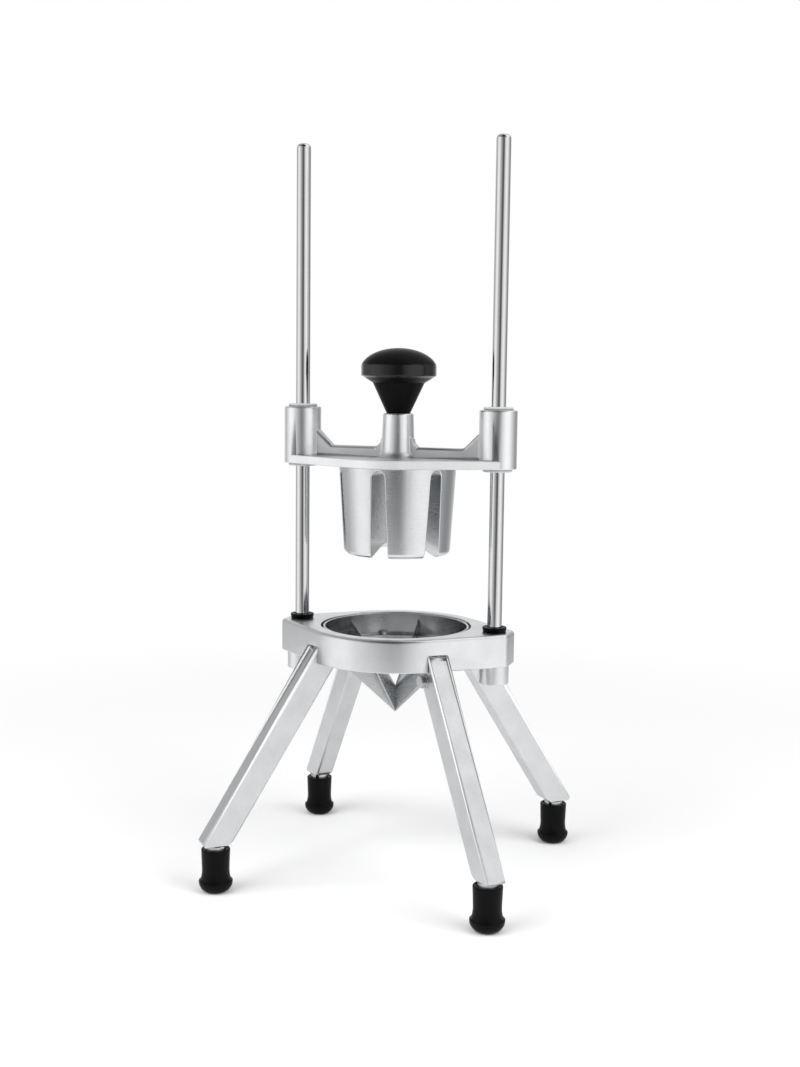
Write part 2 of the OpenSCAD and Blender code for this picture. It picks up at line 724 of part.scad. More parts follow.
module push_block() {
    round_z = block_end_z + finger_round_h;
    round_w = block_low_r - block_end_r;
    color(cast_colour) difference() {
        rotate_extrude() polygon(concat(
            [[0, block_end_z + block_end_r * tan(dish_slope)], [block_end_r, block_end_z]],
            [for (a = [-60:30:0]) [block_end_r + round_w * cos(a), round_z + finger_round_h * sin(a)]],
            [[block_top_r, plate_z], [block_seat_r, plate_z], [block_seat_r, block_seat_z],
            [0, block_seat_z]]));
        for (i = [0:wedges - 1]) rotate([0, 0, blade_angle + i * sector]) rotate([90, 0, 90])
            linear_extrude(2 * block_top_r) slot_outline();
        for (a = block_screw_angles) rotate([0, 0, a])
            translate([block_screw_reach, 0, plate_top_z - block_screw_len - 2])
                cylinder(h = block_screw_len, r = block_screw_r + seat_gap);
    }
}

module push_block_screws() {
    head_h = block_screw_head_r - block_screw_r;
    for (a = block_screw_angles) color(steel_colour) rotate([0, 0, a])
        translate([block_screw_reach, 0, plate_top_z]) difference() {
            union() {
                translate([0, 0, -block_screw_len]) cylinder(h = block_screw_len, r = block_screw_r);
                translate([0, 0, -head_h]) cylinder(h = head_h, r1 = block_screw_r, r2 = block_screw_head_r);
            }
            translate([0, 0, -1]) cylinder(h = 1 + over, r = 1.4, $fn = 6);
        }
}

module bushing(s, top) {
    seat_z = top ? boss_top_z : plate_z;
    color(bushing_colour) translate([s * rod_x, 0, seat_z]) mirror([0, 0, top ? 1 : 0])
        rotate_extrude() polygon([
            [bushing_bore_r, -bushing_flange_t], [bushing_flange_r, -bushing_flange_t],
            [bushing_flange_r, 0], [bushing_r, 0], [bushing_r, bushing_len], [bushing_bore_r, bushing_len]
        ]);
}

// ---- Knob ----

module knob() {
    neck_z = knob_z + knob_neck_h;
    band_z = neck_z + knob_under_h;
    dome_z = band_z + knob_band_h;
    dome_low_z = dome_z - knob_dome_drop;
    dome_h = knob_z + knob_h - dome_low_z;
    dome_start = asin(knob_dome_drop / dome_h);
    dome_r = knob_r / cos(dome_start);
    dome_turn = (90 - dome_start) / 10;
    soften = 1.5;
    color(knob_colour) difference() {
        rotate_extrude() polygon(concat(
            [[0, knob_z], [knob_neck_r, knob_z], [knob_shoulder_r, neck_z]],
            arc([knob_r - soften, band_z + soften], soften, -80, 0, 4),
            [for (i = [0:9]) let (a = dome_start + i * dome_turn)
                [dome_r * cos(a), dome_low_z + dome_h * sin(a)]],
            [[0, knob_z + knob_h]]));
        translate([0, 0, knob_z - over])
            cylinder(h = insert_len + 2 + over, r = insert_r + seat_gap);
    }
}

module knob_insert() {
    color(brass_colour) translate([0, 0, knob_z]) difference() {
        cylinder(h = insert_len, r = insert_r);
        translate([0, 0, -over]) cylinder(h = insert_len + 2 * over, r = stud_r + seat_gap);
    }
}

module knob_stud() {
    color(steel_colour) translate([0, 0, post_top_z - stud_grip])
        cylinder(h = stud_grip + insert_len - 2, r = stud_r);
}

base_casting();
guide_rod(-1);  // guide_rod_left
guide_rod(1);  // guide_rod_right
rod_bumper(-1);  // rod_bumper_left
rod_bumper(1);  // rod_bumper_right
rod_screws();
rod_washers();
blade_ring();
blade_plate(0);  // blade_plate_a
blade_plate(1);  // blade_plate_b
blade_plate(2);  // blade_plate_c
blade_ring_screws();
for (l = legs) leg(l[1]);
for (l = legs) foot(l[1]);
leg_bolts();
leg_washers();
pusher_casting();
push_block();
push_block_screws();
bushing(-1, true);  // bushing_left_top
bushing(-1, false);  // bushing_left_bottom
bushing(1, true);  // bushing_right_top
bushing(1, false);  // bushing_right_bottom
knob();
knob_insert();
knob_stud();
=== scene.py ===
import math

import bmesh
import bpy
from mathutils import Matrix, Vector
from mathutils.bvhtree import BVHTree
from mathutils.geometry import intersect_point_line


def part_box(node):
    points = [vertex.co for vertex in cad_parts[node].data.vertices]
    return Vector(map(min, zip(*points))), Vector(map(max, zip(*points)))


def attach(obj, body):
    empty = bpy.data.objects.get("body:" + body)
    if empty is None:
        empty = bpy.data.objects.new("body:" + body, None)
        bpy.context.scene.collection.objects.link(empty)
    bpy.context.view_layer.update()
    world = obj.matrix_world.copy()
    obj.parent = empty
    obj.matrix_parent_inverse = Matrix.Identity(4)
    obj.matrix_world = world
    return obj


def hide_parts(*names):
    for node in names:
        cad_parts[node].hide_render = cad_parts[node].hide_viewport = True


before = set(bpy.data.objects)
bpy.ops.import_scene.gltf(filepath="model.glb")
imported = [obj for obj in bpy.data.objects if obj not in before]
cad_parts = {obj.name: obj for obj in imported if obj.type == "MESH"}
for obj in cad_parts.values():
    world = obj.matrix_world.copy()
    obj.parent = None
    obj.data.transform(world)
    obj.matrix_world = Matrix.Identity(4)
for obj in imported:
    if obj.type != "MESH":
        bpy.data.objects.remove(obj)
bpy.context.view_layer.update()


# ---- Camera ----
# It stands where the photo was taken from: a little to the right, about a metre away, looking slightly
# down. The whole press fits in the upright picture.
CAMERA_PLACE = (0.3188, -0.90809, 0.34905)
CAMERA_YAW = math.radians(19.22)
CAMERA_PITCH = math.radians(6.461)
CAMERA_ROLL = math.radians(0.6645)
CAMERA_LENS_MM = 46.54
CAMERA_SENSOR_MM = 36
CAMERA_NEAR = 0.01
CAMERA_FAR = 50


def photo_camera():
    data = bpy.data.cameras.new("camera")
    data.sensor_width = CAMERA_SENSOR_MM
    data.lens = CAMERA_LENS_MM
    data.clip_start = CAMERA_NEAR
    data.clip_end = CAMERA_FAR
    camera = bpy.data.objects.new("camera", data)
    bpy.context.scene.collection.objects.link(camera)
    aim = Matrix.Rotation(CAMERA_YAW, 4, "Z") @ Matrix.Rotation(math.pi / 2 - CAMERA_PITCH, 4, "X")
    camera.matrix_world = Matrix.Translation(CAMERA_PLACE) @ aim @ Matrix.Rotation(CAMERA_ROLL, 4, "Z")
    bpy.context.scene.camera = camera


photo_camera()


# ---- Studio ----
# A white table with a soft box to the left and right of the camera. Polished metal mirrors a room that is
# bright on both sides and behind the press. It is dark round the camera, in a strip between each side and
# the back, and overhead in front, which draws the dark lines in the metal.
FLOOR_SIZE = 12
FLOOR_WHITE = 0.94
# Distances from the press where the floor begins to fade into the room, and where it has
FLOOR_FADE_SEEN = (0.2, 0.9)
FLOOR_FADE_MIRRORED = (0.4, 1.1)
# How far off the lamps stand and what they point at, how many degrees to the side and up, and their size
LAMP_REACH = 1.4
LAMP_AIM = (0, 0, 0.2)
LAMP_TURN = 58
LAMP_RISE = 38
LAMP_SIZE = 1.1
LAMP_POWER = 12
CAMERA_AZIMUTH = math.atan2(CAMERA_PLACE[1], CAMERA_PLACE[0])
# How bright the room is at so many degrees to the left (less than 0) or right of the camera, at eye level
# and overhead
ROOM_LEVEL = [
    (-180, 1.0), (-155, 0.78), (-137, 0.64), (-124, 0.5), (-108, 0.72), (-97, 0.95), (-86, 1.22),
    (-65, 1.2), (-52, 0.9), (-42, 0.66), (-30, 0.52), (-18, 0.3), (-12, 0.2), (-5, 0.12), (0, 0.12),
    (7, 0.16), (13, 0.4), (18, 0.7), (25, 0.9), (36, 1.12), (52, 1.25), (70, 1.15), (84, 0.78),
    (90, 0.66), (104, 0.5), (114, 0.3), (125, 0.3), (140, 0.4), (155, 0.7), (180, 1.0),
]
ROOM_HIGH = [
    (-180, 0.6), (-120, 0.5), (-60, 0.3), (-38, 0.05), (0, 0.03), (38, 0.05), (46, 0.5), (54, 1.4),
    (84, 1.5), (110, 1.1), (140, 0.8), (180, 0.6),
]
# The sine of the elevation where eye level begins to give way to overhead, and where it has
ROOM_TURN = (0.3, 0.62)
ROOM_FILL = 0.6


def new_material(name):
    material = bpy.data.materials.new(name)
    material.use_nodes = True
    material.node_tree.nodes.clear()
    return material, material.node_tree.nodes, material.node_tree.links


def piece_from(name, bm):
    """A finished bmesh as an object at the origin, smooth shaded."""
    mesh = bpy.data.meshes.new(name)
    for face in bm.faces:
        face.smooth = True
    bm.to_mesh(mesh)
    bm.free()
    obj = bpy.data.objects.new(name, mesh)
    bpy.context.scene.collection.objects.link(obj)
    return obj


def math_node(nodes, links, operation, first, second):
    node = nodes.new("ShaderNodeMath")
    node.operation = operation
    for value, socket in ((first, node.inputs[0]), (second, node.inputs[1])):
        if isinstance(value, (int, float)):
            socket.default_value = value
        else:
            links.new(value, socket)
    return node.outputs[0]


def ramp_node(nodes, links, value, low, high):
    """0 up to low, 1 from high, and smooth between."""
    node = nodes.new("ShaderNodeMapRange")
    node.interpolation_type = "SMOOTHSTEP"
    node.inputs["From Min"].default_value = low
    node.inputs["From Max"].default_value = high
    links.new(value, node.inputs["Value"])
    return node.outputs["Result"]


def effect_group(name, inputs, outputs):
    """A new node group with its sockets: the group, its nodes and links, its input and its output node."""
    group = bpy.data.node_groups.new(name, "ShaderNodeTree")
    for label, kind, value in inputs:
        group.interface.new_socket(label, in_out="INPUT", socket_type=kind).default_value = value
    for label, kind in outputs:
        group.interface.new_socket(label, in_out="OUTPUT", socket_type=kind)
    nodes = group.nodes
    return group, nodes, group.links, nodes.new("NodeGroupInput"), nodes.new("NodeGroupOutput")


def tone_curve(nodes, links, share, tones, brightest):
    """The tones as a curve over the angle's share of the full turn."""
    node = nodes.new("ShaderNodeFloatCurve")
    curve = node.mapping.curves[0]
    for i, (angle, tone) in enumerate(tones):
        spot = (angle / 360 + 0.5, tone / brightest)
        if 0 < i < len(tones) - 1:
            curve.points.new(*spot)
        else:
            curve.points[0 if i == 0 else -1].location = spot
    for point in curve.points:
        point.handle_type = "VECTOR"
    node.mapping.update()
    links.new(share, node.inputs["Value"])
    return node.outputs["Value"]


def room_effect():
    """How bright the room is in a direction."""
    group, nodes, links, given, result = effect_group(
        "room_brightness",
        [("Direction", "NodeSocketVector", (0, 1, 0))],
        [("Value", "NodeSocketFloat")],
    )
    straight = nodes.new("ShaderNodeVectorMath")
    straight.operation = "NORMALIZE"
    turned = nodes.new("ShaderNodeMapping")
    turned.inputs["Rotation"].default_value = (0, 0, -CAMERA_AZIMUTH)
    axes = nodes.new("ShaderNodeSeparateXYZ")
    links.new(given.outputs["Direction"], straight.inputs[0])
    links.new(straight.outputs["Vector"], turned.inputs["Vector"])
    links.new(turned.outputs["Vector"], axes.inputs["Vector"])
    angle = math_node(nodes, links, "ARCTAN2", axes.outputs["Y"], axes.outputs["X"])
    share = math_node(nodes, links, "ADD", math_node(nodes, links, "DIVIDE", angle, 2 * math.pi), 0.5)
    brightest = max(tone for _, tone in ROOM_LEVEL + ROOM_HIGH)
    tone = nodes.new("ShaderNodeMix")
    links.new(ramp_node(nodes, links, axes.outputs["Z"], *ROOM_TURN), tone.inputs["Factor"])
    links.new(tone_curve(nodes, links, share, ROOM_LEVEL, brightest), tone.inputs["A"])
    links.new(tone_curve(nodes, links, share, ROOM_HIGH, brightest), tone.inputs["B"])
    bright = math_node(nodes, links, "MULTIPLY", tone.outputs["Result"], brightest)
    links.new(bright, result.inputs["Value"])
    return group


def room_brightness(nodes, links, direction):
    node = nodes.new("ShaderNodeGroup")
    node.node_tree = ROOM
    links.new(direction, node.inputs["Direction"])
    return node.outputs["Value"]


def studio_floor():
    bm = bmesh.new()
    bmesh.ops.create_grid(bm, x_segments=1, y_segments=1, size=FLOOR_SIZE / 2)
    floor = piece_from("studio_floor", bm)
    material, nodes, links = new_material("studio_floor")
    out = nodes.new("ShaderNodeOutputMaterial")
    paper = nodes.new("ShaderNodeBsdfDiffuse")
    paper.inputs["Color"].default_value = (FLOOR_WHITE, FLOOR_WHITE, FLOOR_WHITE, 1)
    white, room = nodes.new("ShaderNodeEmission"), nodes.new("ShaderNodeEmission")
    place = nodes.new("ShaderNodeTexCoord").outputs["Object"]
    links.new(room_brightness(nodes, links, place), room.inputs["Strength"])
    distance = nodes.new("ShaderNodeVectorMath")
    distance.operation = "LENGTH"
    links.new(place, distance.inputs[0])
    ray = nodes.new("ShaderNodeLightPath")
    surface = paper.outputs[0]
    fades = ((white, "Is Camera Ray", FLOOR_FADE_SEEN), (room, "Is Glossy Ray", FLOOR_FADE_MIRRORED))
    for glow, kind, fade in fades:
        mix = nodes.new("ShaderNodeMixShader")
        far = ramp_node(nodes, links, distance.outputs["Value"], *fade)
        links.new(math_node(nodes, links, "MULTIPLY", ray.outputs[kind], far), mix.inputs["Fac"])
        links.new(surface, mix.inputs[1])
        links.new(glow.outputs[0], mix.inputs[2])
        surface = mix.outputs[0]
    links.new(surface, out.inputs["Surface"])
    floor.data.materials.append(material)


def studio_world():
    world = bpy.data.worlds.new("studio")
    bpy.context.scene.world = world
    world.use_nodes = True
    nodes, links = world.node_tree.nodes, world.node_tree.links
    nodes.clear()
    out = nodes.new("ShaderNodeOutputWorld")
    fill, white, room = (nodes.new("ShaderNodeBackground") for _ in range(3))
    for shade, strength in ((fill, ROOM_FILL), (white, 1), (room, 1)):
        shade.inputs["Color"].default_value = (1, 1, 1, 1)
        shade.inputs["Strength"].default_value = strength
    way = nodes.new("ShaderNodeTexCoord")
    links.new(room_brightness(nodes, links, way.outputs["Generated"]), room.inputs["Strength"])
    ray = nodes.new("ShaderNodeLightPath")
    mirrored, seen = nodes.new("ShaderNodeMixShader"), nodes.new("ShaderNodeMixShader")
    links.new(ray.outputs["Is Glossy Ray"], mirrored.inputs["Fac"])
    links.new(fill.outputs[0], mirrored.inputs[1])
    links.new(room.outputs[0], mirrored.inputs[2])
    seen_ray, passed_ray = ray.outputs["Is Camera Ray"], ray.outputs["Is Transmission Ray"]
    links.new(math_node(nodes, links, "MAXIMUM", seen_ray, passed_ray), seen.inputs["Fac"])
    links.new(mirrored.outputs[0], seen.inputs[1])
    links.new(white.outputs[0], seen.inputs[2])
    links.new(seen.outputs[0], out.inputs["Surface"])


def soft_box(name, turn):
    """A lamp so many degrees to the side of the camera, for shadows and for what isn't metal."""
    a, e = CAMERA_AZIMUTH + math.radians(turn), math.radians(LAMP_RISE)
    data = bpy.data.lights.new(name, "AREA")
    data.shape = "SQUARE"
    data.size = LAMP_SIZE
    data.energy = LAMP_POWER
    lamp = bpy.data.objects.new(name, data)
    bpy.context.scene.collection.objects.link(lamp)
    away = Vector((math.cos(a) * math.cos(e), math.sin(a) * math.cos(e), math.sin(e)))
    lamp.location = Vector(LAMP_AIM) + away * LAMP_REACH
    lamp.rotation_euler = away.to_track_quat("Z", "Y").to_euler()
    lamp.visible_camera = False
    lamp.visible_glossy = False


ROOM = room_effect()
studio_floor()
studio_world()
soft_box("soft_box_left", -LAMP_TURN)
soft_box("soft_box_right", LAMP_TURN)
bpy.context.scene.view_settings.view_transform = "Standard"


# ---- Base casting ----
# One aluminium casting: a deck with a round opening and a deep skirt, with the rods' bosses and the legs'
# lugs under it. It is tumbled and polished after casting, which rounds its edges and leaves a fine grain.
MM = 0.001
BASE_EDGE_R = 0.7 * MM
NOTCH_AT = (45.2 * MM, 43.2 * MM)
NOTCH_REACH = 13 * MM
SHARP = math.radians(30)
FLAT = math.radians(0.6)
MERGE = 0.002 * MM
ROUND_STEPS = 3
# How far a rounding may stray from the sharp shape, as a share of its radius, how far over it may fold, the
# least area of a face that is judged, and how near a stray spot an edge may run, as a share of the radius
MAX_STRAY = 0.75
MIN_LEAN = 0.05
MIN_FACE = 1e-10
STRAY_NEAR = 1.5
MOST_TRIES = 8
# How finely the noise of a grain or of drawn lines is broken up
FINE_DETAIL = 3
BROAD_DETAIL = 4
# Painted highlight along edges: how wide, how strongly the lean of the normal counts, and how finely it is
# measured
EDGE_HIGHLIGHT_WIDTH = 0.8 * MM
EDGE_HIGHLIGHT_GAIN = 6
EDGE_HIGHLIGHT_SAMPLES = 6
# The part of the unevenness that colour and roughness follow, how much of it drawn lines make up, and the
# height that a relief of 1 stands for
UNEVEN_RANGE = (0.3, 0.7)
LINES_SHARE = 0.4
RELIEF_DEPTH = 0.2 * MM


def grain_effect():
    """Fine and broad unevenness in one value from 0 to 1."""
    group, nodes, links, given, result = effect_group(
        "grain",
        [("Fine", "NodeSocketFloat", 900), ("Broad", "NodeSocketFloat", 60),
         ("Share", "NodeSocketFloat", 0.5)],
        [("Value", "NodeSocketFloat")],
    )
    place = nodes.new("ShaderNodeTexCoord")
    fine, broad = nodes.new("ShaderNodeTexNoise"), nodes.new("ShaderNodeTexNoise")
    mix = nodes.new("ShaderNodeMix")
    fine.inputs["Detail"].default_value = FINE_DETAIL
    broad.inputs["Detail"].default_value = BROAD_DETAIL
    links.new(place.outputs["Object"], fine.inputs["Vector"])
    links.new(place.outputs["Object"], broad.inputs["Vector"])
    links.new(given.outputs["Fine"], fine.inputs["Scale"])
    links.new(given.outputs["Broad"], broad.inputs["Scale"])
    links.new(given.outputs["Share"], mix.inputs["Factor"])
    links.new(fine.outputs["Fac"], mix.inputs["A"])
    links.new(broad.outputs["Fac"], mix.inputs["B"])
    links.new(mix.outputs["Result"], result.inputs["Value"])
    return group


def lines_effect():
    """Fine parallel lines as from a belt or a lathe: noise turned about Z and drawn out along low scales."""
    group, nodes, links, given, result = effect_group(
        "fine_lines",
        [("Scale", "NodeSocketVector", (60, 60, 2500)), ("Turn", "NodeSocketFloat", 0)],
        [("Value", "NodeSocketFloat")],
    )
    place = nodes.new("ShaderNodeTexCoord")
    turned = nodes.new("ShaderNodeVectorRotate")
    turned.rotation_type = "Z_AXIS"
    drawn = nodes.new("ShaderNodeVectorMath")
    drawn.operation = "MULTIPLY"
    noise = nodes.new("ShaderNodeTexNoise")
    noise.inputs["Scale"].default_value = 1
    noise.inputs["Detail"].default_value = FINE_DETAIL
    links.new(place.outputs["Object"], turned.inputs["Vector"])
    links.new(given.outputs["Turn"], turned.inputs["Angle"])
    links.new(turned.outputs["Vector"], drawn.inputs[0])
    links.new(given.outputs["Scale"], drawn.inputs[1])
    links.new(drawn.outputs["Vector"], noise.inputs["Vector"])
    links.new(noise.outputs["Fac"], result.inputs["Value"])
    return group


# The mask of the painted highlight along edges, where the colour is lightened as if light caught the
# rounding.
def edge_highlight_mask_effect():
    """1 along edges and 0 on open faces, from how far a rounded normal leans from the true one."""
    group, nodes, links, given, result = effect_group(
        "edges",
        [("Width", "NodeSocketFloat", EDGE_HIGHLIGHT_WIDTH), ("Gain", "NodeSocketFloat", EDGE_HIGHLIGHT_GAIN)],
        [("Value", "NodeSocketFloat")],
    )
    rounded_off = nodes.new("ShaderNodeBevel")
    rounded_off.samples = EDGE_HIGHLIGHT_SAMPLES
    true = nodes.new("ShaderNodeNewGeometry")
    dot = nodes.new("ShaderNodeVectorMath")
    dot.operation = "DOT_PRODUCT"
    links.new(given.outputs["Width"], rounded_off.inputs["Radius"])
    links.new(rounded_off.outputs["Normal"], dot.inputs[0])
    links.new(true.outputs["Normal"], dot.inputs[1])
    lean = math_node(nodes, links, "SUBTRACT", 1.0, dot.outputs["Value"])
    gained = nodes.new("ShaderNodeMath")
    gained.operation = "MULTIPLY"
    gained.use_clamp = True
    links.new(lean, gained.inputs[0])
    links.new(given.outputs["Gain"], gained.inputs[1])
    links.new(gained.outputs[0], result.inputs["Value"])
    return group


GRAIN, LINES, EDGES = grain_effect(), lines_effect(), edge_highlight_mask_effect()


def placed(nodes, effect, **values):
    node = nodes.new("ShaderNodeGroup")
    node.node_tree = effect
    for label, value in values.items():
        node.inputs[label].default_value = value
    return node.outputs["Value"]


def finish(name, tones, rough, grain, relief, lines=None, line_turn=0.0, line_relief=0.0, edge_highlight_tone=None,
           edge_highlight_metallic=None, metallic=1.0, specular=0.5):
    """Tones are the darkest and lightest colour, rough the least and most roughness, and grain the fine
    scale, the broad scale and the broad one's share. Lines are scales along x, y and z. Edges get a painted
    highlight: a lighter tone, and they may be less metallic."""
    material, nodes, links = new_material(name)
    out = nodes.new("ShaderNodeOutputMaterial")
    body = nodes.new("ShaderNodeBsdfPrincipled")
    body.inputs["Metallic"].default_value = metallic
    body.inputs["Specular IOR Level"].default_value = specular
    uneven = placed(nodes, GRAIN, Fine=grain[0], Broad=grain[1], Share=grain[2])
    height = math_node(nodes, links, "MULTIPLY", uneven, relief)
    if lines:
        drawn = placed(nodes, LINES, Scale=lines, Turn=line_turn)
        raised = math_node(nodes, links, "MULTIPLY", drawn, line_relief)
        height = math_node(nodes, links, "ADD", height, raised)
        grain_part = math_node(nodes, links, "MULTIPLY", uneven, 1 - LINES_SHARE)
        lines_part = math_node(nodes, links, "MULTIPLY", drawn, LINES_SHARE)
        uneven = math_node(nodes, links, "ADD", grain_part, lines_part)
    spread = nodes.new("ShaderNodeMapRange")
    spread.inputs["From Min"].default_value = UNEVEN_RANGE[0]
    spread.inputs["From Max"].default_value = UNEVEN_RANGE[1]
    links.new(uneven, spread.inputs["Value"])
    tone, gloss = nodes.new("ShaderNodeMix"), nodes.new("ShaderNodeMix")
    tone.data_type = "RGBA"
    tone.inputs["A"].default_value = (*tones[0], 1)
    tone.inputs["B"].default_value = (*tones[1], 1)
    gloss.inputs["A"].default_value = rough[1]
    gloss.inputs["B"].default_value = rough[0]
    links.new(spread.outputs["Result"], tone.inputs["Factor"])
    links.new(spread.outputs["Result"], gloss.inputs["Factor"])
    colour = tone.outputs["Result"]
    # Painted highlight: the colour is lightened along the edges, and may be made less metallic there, to
    # draw a bright line where light would catch the rounding.
    if edge_highlight_tone:
        painted_highlight = nodes.new("ShaderNodeMix")
        painted_highlight.data_type = "RGBA"
        painted_highlight.inputs["B"].default_value = (*edge_highlight_tone, 1)
        edges = placed(nodes, EDGES)
        links.new(edges, painted_highlight.inputs["Factor"])
        links.new(colour, painted_highlight.inputs["A"])
        colour = painted_highlight.outputs["Result"]
        if edge_highlight_metallic is not None:
            highlight_metallic_mix = nodes.new("ShaderNodeMix")
            highlight_metallic_mix.inputs["A"].default_value = metallic
            highlight_metallic_mix.inputs["B"].default_value = edge_highlight_metallic
            links.new(edges, highlight_metallic_mix.inputs["Factor"])
            links.new(highlight_metallic_mix.outputs["Result"], body.inputs["Metallic"])
    bump = nodes.new("ShaderNodeBump")
    bump.inputs["Distance"].default_value = RELIEF_DEPTH
    links.new(height, bump.inputs["Height"])
    links.new(colour, body.inputs["Base Color"])
    links.new(gloss.outputs["Result"], body.inputs["Roughness"])
    links.new(bump.outputs["Normal"], body.inputs["Normal"])
    links.new(body.outputs[0], out.inputs["Surface"])
    return material


def reach_of(spot, ends):
    """How far a spot is from a straight edge between two ends."""
    foot, share = intersect_point_line(spot, *ends)
    if share < 0 or share > 1:
        foot = ends[0] if share < 0 else ends[1]
    return (spot - foot).length


def rounded(bm, sharp_shape, chosen, radius, segments=ROUND_STEPS):
    """Rounds the chosen edges. An edge whose rounding would stick out or fold over is left sharp."""
    for attempt in range(MOST_TRIES):
        trial = bm.copy()
        trial.edges.ensure_lookup_table()
        edges = [trial.edges[i] for i in chosen]
        spans = [[v.co.copy() for v in e.verts] for e in edges]
        made = bmesh.ops.bevel(
            trial, geom=edges, offset=radius, offset_type="OFFSET", affect="EDGES",
            segments=segments, profile=0.5, clamp_overlap=False, material=-1,
        )
        trial.normal_update()
        most = MAX_STRAY * radius
        astray = [v.co.copy() for v in made["verts"] if sharp_shape.find_nearest(v.co)[3] > most]
        for face in made["faces"]:
            centre = face.calc_center_median()
            lean = face.normal.dot(sharp_shape.find_nearest(centre)[1])
            if face.calc_area() > MIN_FACE and lean < MIN_LEAN:
                astray.append(centre)
        if not astray or attempt == MOST_TRIES - 1:
            bm.free()
            return trial
        near = STRAY_NEAR * radius
        chosen = [
            i for i, span in zip(chosen, spans) if all(reach_of(spot, span) > near for spot in astray)]
        trial.free()


def sharp_edges(bm):
    """The numbers of the edges between two faces that meet at a sharp angle."""
    bm.edges.ensure_lookup_table()
    bm.edges.index_update()
    return [e.index for e in bm.edges if len(e.link_faces) == 2 and e.calc_face_angle(0) > SHARP]


def merged_copy(node):
    """A CAD node's loose triangles as one closed mesh of flat faces."""
    bm = bmesh.new()
    bm.from_mesh(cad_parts[node].data)
    bmesh.ops.remove_doubles(bm, verts=bm.verts, dist=MERGE)
    bmesh.ops.dissolve_limit(bm, angle_limit=FLAT, verts=bm.verts, edges=bm.edges)
    return bm


def mounted(piece, node, material, body):
    """Gives a piece its finish and the body that it rides on, and lets it stand for its CAD node."""
    piece.modifiers.new("even_shading", "WEIGHTED_NORMAL")
    piece.data.materials.append(material)
    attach(piece, body)
    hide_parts(node)


def softened(name, node, edge_r, material, body):
    """A merged copy of a CAD node with its sharp edges rounded, which stands for the node."""
    bm = merged_copy(node)
    shape = BVHTree.FromBMesh(bm)
    bm = rounded(bm, shape, sharp_edges(bm), edge_r)
    mounted(piece_from(name, bm), node, material, body)


# Its edge tone is a painted highlight along the rounded edges.
CAST_BASE = finish(
    "cast_aluminium_base", tones=((0.64, 0.65, 0.66), (0.72, 0.73, 0.74)), rough=(0.26, 0.36),
    grain=(1400, 90, 0.5), relief=0.14, edge_highlight_tone=(0.9, 0.9, 0.9))


def deck_and_skirt():
    """Rounded all over, but for the rims of the legs' notches, which are left sharp as cut."""
    def beside_notch(edge):
        return all(
            math.hypot(abs(v.co.x) - NOTCH_AT[0], abs(v.co.y) - NOTCH_AT[1]) < NOTCH_REACH
            for v in edge.verts)

    bm = merged_copy("base_casting")
    shape = BVHTree.FromBMesh(bm)
    chosen = [i for i in sharp_edges(bm) if not beside_notch(bm.edges[i])]
    bm = rounded(bm, shape, chosen, BASE_EDGE_R)
    mounted(piece_from("deck_and_skirt", bm), "base_casting", CAST_BASE, "stand")


deck_and_skirt()


# ---- Guide rods ----
# Two ground and polished steel bars, rounded on top. The foot of each is bored and tapped for the screw
# that draws it into its boss. The ground finish is a faint ring pattern round the bar.
ROD_R = 5 * MM
ROD_TIP_R = 3 * MM
ROD_BORE_R = 3 * MM
ROD_BORE_DEEP = 14 * MM
ROD_TIP_STEPS = 8
TURN_STEPS = 96
ROD_STEEL = finish(
    "ground_rod_steel", tones=((0.62, 0.62, 0.63), (0.70, 0.70, 0.71)), rough=(0.08, 0.14),
    grain=(2600, 120, 0.4), relief=0.02, lines=(80, 80, 5000), line_relief=0.03)


def bow(centre, width, height, start, end, steps):
    """Points of a bow about a centre, from one angle to another in degrees."""
    angles = [math.radians(start + (end - start) * i / steps) for i in range(steps + 1)]
    return [(centre[0] + width * math.cos(a), centre[1] + height * math.sin(a)) for a in angles]


def turned_on_lathe(profile, centre, closed=False):
    """A profile of (radius, height) turned once about an upright axis through the centre."""
    bm = bmesh.new()
    verts = [bm.verts.new((radius, 0, height)) for radius, height in profile]
    edges = [bm.edges.new(ends) for ends in zip(verts, verts[1:])]
    if closed:
        edges.append(bm.edges.new((verts[-1], verts[0])))
    bmesh.ops.spin(
        bm, geom=verts + edges, cent=(0, 0, 0), axis=(0, 0, 1), angle=2 * math.pi, steps=TURN_STEPS,
        use_merge=True)
    bmesh.ops.remove_doubles(bm, verts=bm.verts, dist=MERGE)
    bmesh.ops.recalc_face_normals(bm, faces=bm.faces)
    bmesh.ops.translate(bm, verts=bm.verts, vec=centre)
    return bm


def middle_of(node):
    """The middle of a CAD node's foot, and the node's height."""
    low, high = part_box(node)
    return Vector(((low.x + high.x) / 2, (low.y + high.y) / 2, low.z)), high.z - low.z


for side in ("left", "right"):
    foot, length = middle_of("guide_rod_" + side)
    bore = [(0, ROD_BORE_DEEP), (ROD_BORE_R, ROD_BORE_DEEP), (ROD_BORE_R, 0), (ROD_R, 0)]
    tip_centre = (ROD_R - ROD_TIP_R, length - ROD_TIP_R)
    tip = bow(tip_centre, ROD_TIP_R, ROD_TIP_R, 0, 90, ROD_TIP_STEPS) + [(0, length)]
    rod = piece_from("polished_rod_" + side, turned_on_lathe(bore + tip, foot))
    mounted(rod, "guide_rod_" + side, ROD_STEEL, "stand")


# ---- Rubber bumpers ----
# A moulded collar of black rubber, pushed down the foot of each rod onto the deck. It stops the sliding
# head softly at the bottom of its travel.
BUMPER_LOW_R = 7.9 * MM
BUMPER_TOP_R = 8.4 * MM
BUMPER_BORE_R = 5.05 * MM
BUMPER_EDGE_R = 0.6 * MM
RUBBER_EDGE_STEPS = 5
RUBBER = finish(
    "black_rubber", tones=((0.002, 0.002, 0.002), (0.004, 0.004, 0.004)), rough=(0.34, 0.48),
    grain=(1600, 60, 0.5), relief=0.12, metallic=0.0, specular=0.08)

